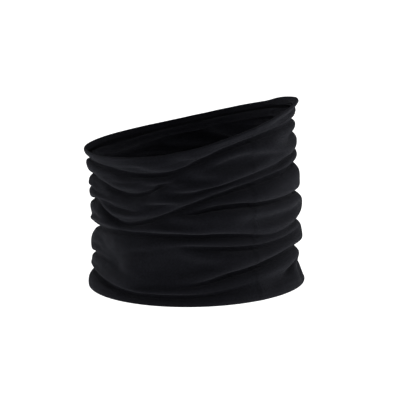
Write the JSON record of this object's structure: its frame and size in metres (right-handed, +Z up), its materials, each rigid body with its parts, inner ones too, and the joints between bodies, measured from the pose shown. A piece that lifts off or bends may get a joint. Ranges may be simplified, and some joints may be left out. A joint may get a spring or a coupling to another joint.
{
  "type": "neck gaiter",
  "caption": "Soft jersey neck gaiter: an open tube scrunched into deep horizontal folds, low at the throat and high at the nape, with flatlock seams and turned, coverstitched hems.",
  "frame": {"origin": "centre of the bounding box in plan, on the surface that the bottom hem stands on", "axes": "+Z up along the tube, +X to the nape (the high side of the rim), -X to the throat, -Y to the wearer's left"},
  "size_m": [0.1719, 0.1536, 0.145],
  "materials": {
    "jersey": "fine single-ply knitted jersey, soft matt nap, black",
    "sewing_thread": "textured polyester overlock and needle thread, black, slight lustre",
    "label_satin": "woven satin ribbon, black, blank, soft lustre"
  },
  "bodies": {
    "collar": {"front_panel": "jersey", "back_panel": "jersey", "left_seam_needle_threads": "sewing_thread", "left_seam_looper_thread": "sewing_thread", "right_seam_needle_threads": "sewing_thread", "right_seam_looper_thread": "sewing_thread", "bottom_hem_needle_threads": "sewing_thread", "bottom_hem_looper_thread": "sewing_thread", "care_label": "label_satin"},
    "rim": {"top_hem_needle_threads": "sewing_thread", "top_hem_looper_thread": "sewing_thread"}
  },
  "joints": [
    {"name": "pull_up", "type": "slide", "parent": "collar", "child": "rim", "axis": [0, 0, 1], "range_m": [0, 0.1], "deforming": ["front_panel", "back_panel", "left_seam_needle_threads", "left_seam_looper_thread", "right_seam_needle_threads", "right_seam_looper_thread"]}
  ]
}
